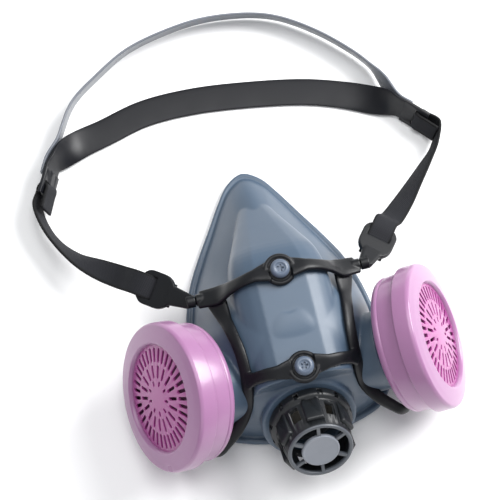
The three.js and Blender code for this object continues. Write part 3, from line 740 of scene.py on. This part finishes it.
def panel_body():
    """The raised panel under the two buttons: it narrows and runs out into the nose ridge."""
    flanks = smooth_route([(x, z) for x, z in PANEL_HALF_SECTION], 6)
    half_width = PANEL_HALF_SECTION[0][0]
    crown = np.linspace(-1, 1, 13)[1:-1]
    top = [(half_width * t, PANEL_CROWN * (1 - t * t)) for t in crown]
    section = [(-x, z) for x, z in reversed(flanks)] + top + [(x, z) for x, z in flanks]
    stations = rounded(PANEL_STATIONS, 16, 10)
    rows = [[(x * share, y, z + below * share) for x, below in section] for y, z, share in stations]
    points = [point for row in rows for point in row]
    return make_object("panel", points, skin_faces(len(section), len(rows)))


# ---------------------------------------------------------------- facepiece

def facepiece():
    mask = combined(dome_body(), panel_body(), "UNION")
    combined(mask, cavity_body(), "DIFFERENCE")
    combined(mask, disc("front", 24, 0, COVER_LENGTH, VALVE_FRAME), "DIFFERENCE")
    sleeve = rounded([
        (SLEEVE_BORE, -SLEEVE_DEPTH), (SLEEVE_RADIUS, -SLEEVE_DEPTH), (SLEEVE_RADIUS + 1.6, -4.5),
        (SLEEVE_RADIUS + 2.2, -1), (SLEEVE_RADIUS + 1, 0.6), (SLEEVE_RADIUS - 0.6, 0), (20, 0),
        (20, 3), (SLEEVE_BORE, 3), (SLEEVE_BORE, -SLEEVE_DEPTH),
    ], 0.5)
    combined(mask, lathe("sleeve", sleeve, VALVE_FRAME), "UNION")
    combined(mask, disc("valve_bore", SLEEVE_BORE, -24, 4, VALVE_FRAME), "DIFFERENCE")
    for name, _ in SIDES:
        local = FILTER_FRAME[name]
        inside = BOSS_BACK - RECESS
        combined(mask, disc("boss", BOSS_RADIUS, inside, BOSS_FRONT, local), "UNION")
        for hole, radius, low, high in (
            ("port", PORT_RADIUS + GAP, inside - 1, BOSS_FRONT + 1),
            ("recess", FLANGE_RADIUS + GAP, inside - 1, BOSS_BACK),
            ("room", BOSS_RADIUS + 2, BOSS_FRONT, 0),
        ):
            combined(mask, disc(hole, radius, low, high, local), "DIFFERENCE")
    moulded(mask, voxel=0.75, smoothing=5)
    return finished(mask, "mask", "facepiece", "elastomer")


def button(number, y, z):
    """A moulded button: a dished head with a five-pointed dimple on a short stem."""
    local = button_frame(y, z)
    profile = rounded([
        (0, -2), (3.4, -2), (3.4, 3.5), (5, 3.7), (5, 5), (4.1, 6.1), (3, 6.4), (2.4, 5.9),
        (0, 5.7),
    ], 0.45)
    head = lathe(f"facepiece_button_{number}", profile, local, 64)
    for i in range(BUTTON_POINTS):
        turn = i * 2 * math.pi / BUTTON_POINTS
        dimple = slots("dimple", length=2.2, width=0.9, low=5.2, high=7, middle=0.9, turns=[turn],
                       matrix=local)
        combined(head, dimple, "DIFFERENCE")
    softened_edges(head, 0.15, 2)
    return finished(head, "mask", "facepiece", "elastomer", "button_rubber")


# ---------------------------------------------------------------- yoke

YOKE_SECTION = pill(6.5, 2.6, 0.9, crown=0.3)
YOKE_CORNER = (34.5, 46, 47.6)
YOKE_ARM = [(32.5, 34), (31, 24), (29.3, 12), (29, -2), (31.5, -13)]
YOKE_ARM_TAIL = [
    (37.5, -20.5, 30), (44.5, -25.4, 24), (49.8, -28.3, 20), (53.4, -27.2, 17.5),
    (56.2, -22.5, 14.5), (56.6, -17, 12),
]
EYELET_PROFILE = [
    (4.3, 0.5), (8.5, 0.5), (8.5, 2.6), (7.7, 3.4), (6.6, 3.3), (6.2, 2.6), (5.7, 2.6),
    (5.3, 3.3), (4.6, 3.3), (4.3, 2.8), (4.3, 0.5),
]
EYELET_BORE = 4.2


def over_skin(side, x, y):
    return (side * x, y, skin_height(x, y) + YOKE_LIFT)


def bar(name, stops, widths):
    """A yoke bar through the stops, lying flat on the dome; the widths are factors along it."""
    route = smooth_route(stops, 10)
    ahead = np.gradient(route, axis=0)
    across = np.cross(ahead, route - POLE)
    return sweep(name, YOKE_SECTION, route, across, widths)


def yoke():
    pieces = []
    (upper_y, upper_z), (lower_y, lower_z) = BUTTONS
    knuckle_x, knuckle_y, knuckle_z = KNUCKLE
    for _, side in SIDES:
        pieces.append(bar("top_bar", [
            (side * 6, upper_y, upper_z + 1.9), (side * 14, 47, upper_z + 1.5),
            (side * 20, 46.5, 64), (side * 26, 46.2, 58.4), (side * 32, 46.2, 50.6),
            (side * (knuckle_x + 2), knuckle_y, knuckle_z),
        ], (1.9, 1.1, 1, 1.2, 1.8, 1.6)))
        pieces.append(bar("low_bar", [
            (side * 6, lower_y, lower_z + 1.9), (side * 13.5, lower_y, lower_z + 1.4),
            (side * 19.5, -3.8, 59.8), (side * 25, -3.2, 55.2), over_skin(side, 29, -2),
        ], (1.7, 1.1, 1, 1, 1.5)))
        pieces.append(bar("arm", [
            (side * YOKE_CORNER[0], YOKE_CORNER[1], YOKE_CORNER[2]),
            *(over_skin(side, x, y) for x, y in YOKE_ARM),
            *((side * x, y, z) for x, y, z in YOKE_ARM_TAIL),
        ], (1.9, 1.1, 0.95, 0.95, 1, 1, 0.9, 0.8, 0.7, 0.55)))
        local = frame_at((side * knuckle_x, knuckle_y, knuckle_z), (side, 0, 0))
        pieces.append(disc("barrel", KNUCKLE_RADIUS, 0, KNUCKLE_LENGTH, local, 32))
        pieces.append(disc("pin", PIN_RADIUS, 0, 2 * KNUCKLE_LENGTH - 0.5, local, 24))
    for y, z in BUTTONS:
        pieces.append(lathe("eyelet", EYELET_PROFILE, button_frame(y, z), 64))
    body = joined(*pieces)
    for y, z in BUTTONS:
        combined(body, disc("hole", EYELET_BORE, -4, 12, button_frame(y, z), 48), "DIFFERENCE")
    body.name = "yoke_moulding"
    moulded(body, voxel=0.42, smoothing=4)
    return finished(body, "mask", "yoke", "harness_plastic")


# ---------------------------------------------------------------- filters

def inlet_connector(name):
    local = FILTER_FRAME[name]
    back, front = BOSS_BACK - GAP, BOSS_FRONT + GAP
    seat = back - SEAT_DEPTH
    profile = [
        (PORT_BORE, seat), (FLANGE_RADIUS, seat), (FLANGE_RADIUS, back), (PORT_RADIUS, back),
        (PORT_RADIUS, front), (FLANGE_RADIUS, front), (FLANGE_RADIUS, front + 1.5),
        (PORT_RADIUS, front + 1.5),
    ]
    threads = 4
    thread_root = PORT_RADIUS - 0.6
    pitch = (TUBE_END - front - 2.5) / threads
    for i in range(threads):
        low = front + 1.8 + i * pitch
        profile += [(thread_root, low), (PORT_RADIUS, low + pitch / 2)]
    profile += [(thread_root, TUBE_END), (PORT_BORE, TUBE_END), (PORT_BORE, seat)]
    piece = lathe(f"inlet_connector_{name}_detail", rounded(profile, 0.25, 3), local)
    combined(piece, spoked_hub(2 * PORT_BORE + 1, seat, local), "UNION")
    softened_edges(piece, 0.25, 2)
    return finished(piece, "mask", f"inlet_connector_{name}", "insert_plastic")


def spoked_hub(span, low, local):
    """Three bars across a bore and a hub in the middle with a hole for the flap's stem."""
    turns = [i * math.pi / 3 for i in range(3)]
    hub = disc("hub", 3.2, low, low + SEAT_DEPTH, local, 32)
    for turn in turns:
        spoke = blocks("spoke", (span, 2, SEAT_DEPTH), (0, 0, low + SEAT_DEPTH / 2), [turn], local)
        combined(hub, spoke, "UNION")
    stem_hole = disc("stem_hole", 1.3, low - 1, low + SEAT_DEPTH + 1, local, 24)
    return combined(hub, stem_hole, "DIFFERENCE")


def flap(thing_name, radius, hub_face, opening, local, body, node):
    """A thin disc on a stem through the hub; it lifts along the frame's Z if opening is 1, else back."""
    face = hub_face + opening * GAP
    bead = hub_face - opening * (SEAT_DEPTH + FLAP_TRAVEL + GAP)
    profile = rounded([
        (0, face + opening * 0.9), (3, face + opening * 0.9), (4, face + opening * 0.7),
        (radius, face + opening * 0.55), (radius, face), (0.9, face), (0.9, bead),
        (1.8, bead - opening * 0.4), (1.8, bead - opening * 1.4), (0, bead - opening * 2),
    ], 0.2, 3)
    piece = lathe(thing_name, profile, local, 72)
    return finished(piece, body, node, "flap_rubber")


def filter_gasket(name):
    low = TUBE_END + GAP
    high = low + GASKET_THICKNESS
    profile = rounded([(11, low), (15, low), (15, high), (11, high), (11, low)], 0.6)
    piece = lathe(f"filter_gasket_{name}_ring", profile, FILTER_FRAME[name])
    return finished(piece, f"{name}_gasket", f"filter_gasket_{name}", "gasket_rubber")


def filter_body(name):
    """The cup behind the cover, with a bead round its back edge and a threaded collar."""
    seat = TUBE_END + GAP + GASKET_THICKNESS + GAP
    profile = rounded([
        (15.3, -25.4), (19.6, -25.4), (19.6, -23), (33.6, -23), (35.4, -22.2), (36.3, -20.4),
        (36.3, -19.4), (35.9, -18.8), (36.1, -18.2), (37.1, -8.3), (35.2, -8.3), (34.2, -21.2),
        (17.4, -21.2), (17.4, seat + 1.4), (11, seat + 1.4), (11, seat), (15.3, seat),
        (15.3, -25.4),
    ], 0.7)
    piece = lathe(f"filter_body_{name}_cup", profile, FILTER_FRAME[name], 144)
    return finished(piece, f"{name}_filter", f"filter_body_{name}", "magenta_plastic")


def filter_media(name):
    """The felt pad, with fine rings pressed into its front."""
    reach, front, back = 34.4, -3, -12.6
    rings = [(radius, front - 0.5 * (i % 2)) for i, radius in enumerate(np.linspace(0, reach, 36))]
    profile = rings + [(reach, back), (0, back)]
    piece = lathe(f"filter_media_{name}_pad", profile, FILTER_FRAME[name], 72)
    return finished(piece, f"{name}_filter", f"filter_media_{name}", "filter_media")


def filter_cover(name):
    """The front shell: a lip over the cup, a round shoulder and a domed, slotted grille."""
    local = FILTER_FRAME[name]
    rim = rounded([
        (37.5, -9.5), (FILTER_RADIUS, -9.5), (FILTER_RADIUS, -1.3), (FILTER_RADIUS - 0.9, 0.2),
        (FILTER_RADIUS - 2.2, 0.5), (34, 1.2), (30, 1.9), (28.9, 2.1), (GRILLE_RADIUS, 1),
        (27.6, -1), (37.5, -3.4), (37.5, -9.5),
    ], 0.9, 6)
    shell = lathe(f"filter_cover_{name}_rim", rim, local, 144)
    finished(shell, f"{name}_filter", f"filter_cover_{name}", "magenta_plastic")
    edge = GRILLE_RADIUS - 0.1
    dish = [
        (0, 1.8), (6, 1.7), (14, 1.2), (20, 0.7), (edge, 0), (edge, -1.2), (20, -0.6), (0, 0.4),
    ]
    grille = lathe(f"filter_cover_{name}_grille", dish, local, 144)
    for count, length, width, middle, phase in GRILLE_SLOTS:
        turns = [(i + phase) * 2 * math.pi / count for i in range(count)]
        combined(grille, slots("slots", length, width, -3, 5, middle, turns, local), "DIFFERENCE")
    softened_edges(grille, 0.3, 2)
    return finished(
        grille, f"{name}_filter", f"filter_cover_{name}", "magenta_plastic", "grille_plastic",
    )


# ---------------------------------------------------------------- exhalation valve

def exhalation_seat():
    profile = [
        (12.5, SEAT_LOW), (16.7, SEAT_LOW), (16.7, -3), (15.2, -3), (15.2, -7), (12.5, -7),
        (12.5, SEAT_LOW),
    ]
    piece = lathe("exhalation_seat_ring", rounded(profile, 0.3, 3), VALVE_FRAME)
    combined(piece, spoked_hub(26, SEAT_LOW, VALVE_FRAME), "UNION")
    softened_edges(piece, 0.2, 2)
    return finished(piece, "mask", "exhalation_seat", "insert_plastic")


COVER_TURNS = [(i + 0.5) * 2 * math.pi / COVER_RIBS for i in range(COVER_RIBS)]


def cover_shell():
    """The guard's tapering shell: broad ribs with a window between two, and a notched skirt."""
    inside = COVER_LENGTH - COVER_WALL
    shell = lathe("exhalation_cover_shell", rounded([
        (20.3, 0.4), (22, 0.4), (22, 4.6), (21.3, 5.6), (19.4, 6.6), (17.2, COVER_LENGTH - 0.6),
        (16, COVER_LENGTH - 0.6), (HUB_OPENING, inside), (17.2, 7.5), (17.2, 4.5), (20.3, 4.5),
        (20.3, 0.4),
    ], 0.6), VALVE_FRAME, 120)
    for turn in COVER_TURNS:
        rib = blocks("rib", (3.2, 9.6, 15.5), (18.2, 0, 13), [turn], VALVE_FRAME)
        softened_edges(rib, 1.1, 3)
        applied(rib)
        combined(shell, rib, "UNION")
    between = [turn + math.pi / COVER_RIBS for turn in COVER_TURNS]
    windows = blocks("window", (8, 5.6, 8.6), (18, 0, 12.6), between, VALVE_FRAME)
    combined(shell, windows, "DIFFERENCE")
    beside = [turn + side * 0.3 for turn in COVER_TURNS for side in (-1, 1)]
    notches = blocks("notch", (3, 2.6, 4), (22.8, 0, 4), beside, VALVE_FRAME)
    combined(shell, notches, "DIFFERENCE")
    beyond = COVER_LENGTH + 3
    taper = [
        (0, 4), (17.2, 4.6), (17.2, 7.5), (HUB_OPENING, inside), (HUB_OPENING, beyond), (0, beyond),
    ]
    combined(shell, lathe("hollow", taper, VALVE_FRAME, 120), "DIFFERENCE")
    softened_edges(shell, 0.35, 3)
    return finished(shell, "exhalation_cover", "exhalation_cover", "guard_plastic")


def cover_hub():
    """The disc in the middle of the guard's front; its light grey is a painted reflection on the guard's
    dark plastic.
    """
    front = COVER_LENGTH
    hub = lathe("exhalation_cover_front", rounded([
        (0, front - COVER_WALL), (HUB_RADIUS, front - COVER_WALL), (HUB_RADIUS, front),
        (9.3, front + 0.3), (8.6, front + 0.1), (0, front + 0.1),
    ], 0.4), VALVE_FRAME, 96)
    softened_edges(hub, 0.25, 3)
    return finished(hub, "exhalation_cover", "exhalation_cover", "guard_plastic", "guard_front_painted_reflection")


def cover_ring():
    """The guard's front ring, with the spokes that hold the hub; their mid-grey is a painted reflection
    on the guard's dark plastic.
    """
    front = COVER_LENGTH
    ring = lathe("exhalation_cover_ring", rounded([
        (15.1, front - COVER_WALL), (17, front - COVER_WALL), (17.3, front - 0.8), (16.9, front),
        (15.6, front), (15.1, front - 0.5), (15.1, front - COVER_WALL),
    ], 0.3), VALVE_FRAME, 96)
    middle = (12.7, 0, front - COVER_WALL / 2 - 0.1)
    for turn in COVER_TURNS:
        spoke = blocks("spoke", (6, 1.7, COVER_WALL - 0.3), middle, [turn], VALVE_FRAME)
        combined(ring, spoke, "UNION")
    softened_edges(ring, 0.25, 3)
    return finished(ring, "exhalation_cover", "exhalation_cover", "guard_plastic", "guard_ring_painted_reflection")


# ---------------------------------------------------------------- harness

BUCKLES = {
    "left": ((-61, 59, 38), (-0.7, 0.62, -0.36)),
    "right": ((56.5, 58.5, 38), (0.56, 0.74, -0.37)),
}
TONGUES = {
    "left": ((-109.5, 136, 9.2), (0.447, 0.894), (-0.34, 0, 0.94)),
    "right": ((107.5, 131, 9.3), (-0.68, 0.73), (0.2, 0.18, 0.96)),
}
FOLD = 2.5
THREADED = [(-6.5, -2.7), (0.5, -2.7), (5.6, 0), (10.6, 2.6), (16, 2.9)]
FOLDED = [
    (-6, FOLD), (1, FOLD), (4.5, FOLD), (6.27, 0.71 * FOLD), (7, 0), (6.27, -0.71 * FOLD),
    (4.5, -FOLD), (1, -FOLD), (-8, -FOLD - 0.3),
]
STRAP_STOPS = {
    "left": [
        ((-79.6, 75.8, 26), (-0.5, -0.75, -0.1)), ((-89.9, 85.6, 18.5), (-0.45, -0.8, 0.35)),
        ((-100.5, 96.8, 12.5), (-0.4, -0.5, 0.75)), ((-108.2, 108.2, 9.8), (-0.35, -0.25, 0.9)),
        ((-112.6, 118.7, 9.2), (-0.35, -0.1, 0.93)),
    ],
    "right": [
        ((71, 74.5, 27.5), (0.6, -0.6, 0.3)), ((79.5, 83.3, 21), (0.55, -0.55, 0.5)),
        ((89.4, 94.7, 15), (0.5, -0.4, 0.75)), ((100, 106.7, 11), (0.35, -0.25, 0.9)),
        ((109, 117.5, 9.2), (0.25, 0, 0.96)),
    ],
}


def buckle_frame(name):
    centre, along = BUCKLES[name]
    x = unit(along)
    z = np.array(LEAN) - np.dot(LEAN, x) * x
    return frame_at(centre, z, along)


def by_tongue(name, along, out):
    """A point by a band's end tongue: along it from its tip, and out of its outer face."""
    tip, towards, up = TONGUES[name]
    ahead = np.array([*towards, 0])
    outward = unit(np.cross(up, ahead))
    facing = 1 if outward[0] * tip[0] > 0 else -1
    return np.array(tip) + ahead * along + outward * facing * out


def prism(name, outline, low, high, matrix):
    count = len(outline)
    points = [(x, y, low) for x, y in outline] + [(x, y, high) for x, y in outline]
    faces = [tuple(reversed(range(count))), tuple(range(count, 2 * count))]
    faces += [(i, (i + 1) % count, count + (i + 1) % count, count + i) for i in range(count)]
    return make_object(name, points, faces, matrix)


def buckle(name, side):
    """A slotted plate hung from the yoke's pin by a barrel and a neck, all one moulding."""
    local = buckle_frame(name)
    corners = [
        (-9, -4), (-3, -9.5), (9.5, -9.5), (13.5, -6), (13.5, 6), (9.5, 9.5), (-3, 9.5), (-9, 4),
    ]
    hole = [(3.6, -6.3), (7.8, -6.3), (7.8, 6.3), (3.6, 6.3)]
    plan = [tuple(p) for p in rounded([*corners, corners[0]], 4, 5)[:-1]]
    plate = prism(f"buckle_{name}_moulding", plan, -1.4, 1.4, local)
    combined(plate, prism("slot", hole, -5, 5, local), "DIFFERENCE")
    start = KNUCKLE[0] + KNUCKLE_LENGTH + GAP
    knuckle_frame = frame_at((side * start, KNUCKLE[1], KNUCKLE[2]), (side, 0, 0))
    middle = np.array([side * (start + 2.6), KNUCKLE[1], KNUCKLE[2]])
    plate_end = moved(local, [(-5, 0, 0)])[0]
    across = local[:3, 1]
    neck = sweep("neck", pill(5.4, 3, 0.8), [middle, plate_end], [across, across], (1.4, 2.1))
    barrel = disc("barrel", KNUCKLE_RADIUS, 0, KNUCKLE_LENGTH + 0.5, knuckle_frame, 32)
    joined(plate, barrel, neck)
    moulded(plate, voxel=0.35, smoothing=3)
    socket = disc("socket", PIN_RADIUS + GAP, -1, KNUCKLE_LENGTH - 0.2, knuckle_frame, 32)
    combined(plate, socket, "DIFFERENCE")
    return finished(plate, "harness", f"buckle_{name}", "harness_plastic")


def side_strap(name):
    """Webbing from the buckle's slot to the band's tongue, folded back through both."""
    local = buckle_frame(name)
    across = local[:3, 1]
    facing = -1 if across.dot(STRAP_STOPS[name][0][1]) < 0 else 1
    _, _, up = TONGUES[name]
    stops = [(moved(local, [(x, 0, z)])[0], across * facing) for x, z in THREADED]
    stops += STRAP_STOPS[name]
    stops += [(by_tongue(name, along, out), up) for along, out in FOLDED]
    section = pill(*STRAP, corner=0.6, crown=0.08)
    strap = ribbon(f"side_strap_{name}_webbing", stops, section, 12)
    return finished(strap, "harness", f"side_strap_{name}", "webbing")


def back_band():
    """The wide band, with a slotted tongue at each end for the side strap."""
    def on_edge(name, along):
        return by_tongue(name, along, 0), TONGUES[name][2]

    stops = [
        on_edge("left", 0), on_edge("left", 11), on_edge("left", 19),
        ((-96.6, 157, 8.4), (-0.42, 0.25, 0.87)), ((-91.5, 160.8, 6.4), (-0.52, 0.55, 0.65)),
        ((-83, 165.2, 3.2), (-0.45, 0.85, 0.25)), ((-69, 169.3, 1.6), (-0.35, 0.93, 0.04)),
        ((-45, 175.8, 1.2), (-0.1, 1, 0.02)), ((-17, 177, 1.2), (0, 1, 0.02)),
        ((16, 173.8, 1.2), (0.15, 1, 0.02)), ((48, 168, 1.4), (0.25, 0.96, 0.02)),
        ((69, 160.8, 2), (0.35, 0.93, 0.1)), ((82.5, 153.6, 4.6), (0.4, 0.78, 0.45)),
        ((89.5, 149.2, 7.6), (0.35, 0.5, 0.79)), on_edge("right", 18), on_edge("right", 11),
        on_edge("right", 0),
    ]
    band = ribbon("back_band_strip", stops, pill(*BACK_BAND, corner=0.55, crown=0.25), 14)
    for name, _ in SIDES:
        up = TONGUES[name][2]
        ends = [by_tongue(name, 0, 0), by_tongue(name, 15, 0)]
        combined(band, sweep("tongue", pill(18, 2, 0.7), ends, [up, up]), "UNION")
        slot_ends = [by_tongue(name, 5.8, 0), by_tongue(name, 8, 0)]
        combined(band, sweep("slot", pill(13.6, 12, 1), slot_ends, [up, up]), "DIFFERENCE")
    softened_edges(band, 0.25, 2, 50)
    return finished(band, "harness", "back_band", "band_plastic")


def crown_band():
    """The band over the crown, with its ends lapped on the back band's tongues; its light tone is partly
    its own grey and partly painted reflection.
    """
    lapped = 3.1

    def ends(name, places):
        return [(by_tongue(name, along, lapped), TONGUES[name][2]) for along in places]

    arch = [
        (-95, 168.5), (-83, 187.8), (-66.2, 200.8), (-45.2, 213.1), (-15.8, 220.5), (3, 221.9),
        (27.3, 218.9), (42.7, 213.3), (60.3, 201.3), (75.4, 186.9), (85.3, 174.5),
    ]
    stops = [
        *ends("left", (12, 21)), *(((x, y, 8.2), LEAN) for x, y in arch),
        ((91, 162.5, 8.4), (0.1, 0, 0.95)), *ends("right", (21, 12)),
    ]
    band = ribbon("crown_band_strip", stops, pill(*CROWN_BAND, corner=0.55), 14)
    return finished(band, "harness", "crown_band", "crown_plastic")


# ---------------------------------------------------------------- everything

facepiece()
for number, (y, z) in enumerate(BUTTONS, start=1):
    button(number, y, z)
yoke()
for name, side in SIDES:
    inlet_connector(name)
    flap(
        f"inhalation_flap_{name}_disc", 14.5, BOSS_BACK - GAP - SEAT_DEPTH, -1, FILTER_FRAME[name],
        f"{name}_inhalation_flap", f"inhalation_flap_{name}",
    )
    filter_gasket(name)
    filter_body(name)
    filter_media(name)
    filter_cover(name)
    buckle(name, side)
    side_strap(name)
exhalation_seat()
flap(
    "exhalation_flap_disc", 14, SEAT_LOW + SEAT_DEPTH, 1, VALVE_FRAME,
    "exhalation_flap", "exhalation_flap",
)
cover_shell()
cover_hub()
cover_ring()
back_band()
crown_band()

# ---------------------------------------------------------------- floor, light and camera

FLOOR_SIZE = 4
FLOOR_DROP = 0.0002
floor_mesh = bpy.data.meshes.new("floor")
corners = [(x * FLOOR_SIZE / 2, y * FLOOR_SIZE / 2, 0) for x, y in ((-1, -1), (1, -1), (1, 1), (-1, 1))]
floor_mesh.from_pydata(corners, [], [(0, 1, 2, 3)])
floor = bpy.data.objects.new("floor", floor_mesh)
bpy.context.scene.collection.objects.link(floor)
floor.location.z = -FLOOR_DROP
floor_mesh.materials.append(Surface("floor", (0.93, 0.93, 0.93, 1), 0.9).material)


def area_light(name, position, target, size, power):
    lamp = bpy.data.lights.new(name, "AREA")
    lamp.shape = "DISK"
    lamp.size = size
    lamp.energy = power
    thing = bpy.data.objects.new(name, lamp)
    bpy.context.scene.collection.objects.link(thing)
    thing.location = position
    thing.rotation_euler = (Vector(target) - Vector(position)).to_track_quat("-Z", "Y").to_euler()
    return thing


area_light("key", position=(0.9, 0.25, 0.85), target=(0, 0, 0.03), size=0.8, power=26)
area_light("top", position=(-0.1, 0.3, 1.6), target=(0, 0, 0), size=1.2, power=13)
area_light("front", position=(-0.3, -1.2, 0.8), target=(0, 0, 0.03), size=0.8, power=1.5)

world = bpy.data.worlds.new("studio")
world.use_nodes = True
background = world.node_tree.nodes["Background"]
background.inputs["Color"].default_value = (0.95, 0.97, 1, 1)
background.inputs["Strength"].default_value = 0.5
bpy.context.scene.world = world
bpy.context.scene.view_settings.view_transform = "Standard"

# The camera looks down on the mask from 1 m, leaning towards the chin.
CAMERA_DIRECTION = np.array([-0.11, -0.25, 0.962])
CAMERA_RIGHT = np.array([0.96899, -0.24243, 0.04780])
CAMERA_UP = np.array([0.22126, 0.93740, 0.26891])
CAMERA_DISTANCE = 1000
CAMERA_TARGET = np.array([0, 0, 47.0])
AIM_RIGHT, AIM_UP = -26, 60.3
FIELD_OF_VIEW = 14.77

eye = CAMERA_TARGET + unit(CAMERA_DIRECTION) * CAMERA_DISTANCE
aim = CAMERA_TARGET + CAMERA_RIGHT * AIM_RIGHT + CAMERA_UP * AIM_UP
back = unit(eye - aim)
right = unit(np.cross(CAMERA_UP, back))
up = np.cross(back, right)
lens = bpy.data.cameras.new("camera")
lens.sensor_width = 36
lens.angle = math.radians(FIELD_OF_VIEW)
lens.clip_start = 0.01
camera = bpy.data.objects.new("camera", lens)
bpy.context.scene.collection.objects.link(camera)
camera_axes = np.column_stack([right, up, back]).tolist()
rows = [[*row, position] for row, position in zip(camera_axes, place(eye).tolist())]
camera.matrix_world = Matrix(rows + [[0, 0, 0, 1]])
bpy.context.scene.camera = camera
